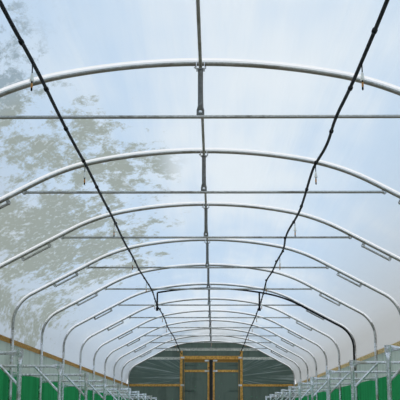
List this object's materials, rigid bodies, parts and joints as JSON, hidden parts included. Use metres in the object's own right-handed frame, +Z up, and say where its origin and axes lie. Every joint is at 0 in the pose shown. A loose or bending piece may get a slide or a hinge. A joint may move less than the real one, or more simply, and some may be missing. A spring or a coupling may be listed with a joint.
{
  "type": "polytunnel greenhouse",
  "caption": "Long walk-in polytunnel of bent steel hoops under one translucent sheet, with timber end walls, double doors, staging brackets, vented sides and overhead watering.",
  "frame": {"origin": "on the ground at the middle of the tunnel's plan", "axes": "+X across the tunnel to the right when facing the doors from inside, +Y along it to the doored end, +Z up"},
  "size_m": [5.6782, 34.26, 2.8055],
  "materials": {
    "galvanised_steel": "dull weathered galvanised",
    "timber": "sawn, oiled by weather",
    "pale_timber": "painted pale grey",
    "polythene_cover": "translucent, creased",
    "vent_mesh": "woven shade mesh",
    "green_netting": "woven netting",
    "dark_sheet": "smooth dark green sheet",
    "clear_film": "creased clear film",
    "black_rubber": "matt",
    "black_pipe": "matt",
    "sprinkler_plastic": "matt"
  },
  "bodies": {
    "tunnel": {"hoops": "galvanised_steel", "foundation_tubes": "galvanised_steel", "tie_bars": "galvanised_steel", "ridge_purlin": "galvanised_steel", "ridge_clamps": "galvanised_steel", "king_posts": "galvanised_steel", "haunch_braces": "galvanised_steel", "bracket_posts": "galvanised_steel", "bracket_arms": "galvanised_steel", "bracket_knees": "galvanised_steel", "joint_plates": "galvanised_steel", "side_rail_left": "timber", "side_rail_right": "timber", "cover_battens": "timber", "vent_mesh_left": "vent_mesh", "vent_mesh_right": "vent_mesh", "netting_skirt_left": "green_netting", "netting_skirt_right": "green_netting", "cover": "polythene_cover", "end_posts": "timber", "head_beams": "timber", "collar_rails": "pale_timber", "haunch_boards": "pale_timber", "end_side_rails": "timber", "gable_posts": "timber", "end_side_sheets": "dark_sheet", "gable_sheets": "dark_sheet", "end_films": "clear_film", "hinge_pintles": "galvanised_steel", "infill_frame": "timber", "infill_sheet": "dark_sheet", "supply_pipe": "black_pipe", "manifolds": "black_pipe", "water_line_left": "black_pipe", "water_line_right": "black_pipe", "sprinklers": "sprinkler_plastic"},
    "left_door_leaf": {"left_leaf_frame": "timber", "left_leaf_sheet": "dark_sheet", "left_leaf_straps": "galvanised_steel", "meeting_flap": "black_rubber"},
    "right_door_leaf": {"right_leaf_frame": "timber", "right_leaf_sheet": "dark_sheet", "right_leaf_straps": "galvanised_steel"}
  },
  "joints": [
    {"name": "left_door_hinge", "type": "hinge", "parent": "tunnel", "child": "left_door_leaf", "pos_m": [-0.9575, 17.11675, 0], "axis": [0, 0, 1], "range_deg": [0, 100]},
    {"name": "right_door_hinge", "type": "hinge", "parent": "tunnel", "child": "right_door_leaf", "pos_m": [0.9575, 17.11675, 0], "axis": [0, 0, -1], "range_deg": [0, 100]}
  ]
}
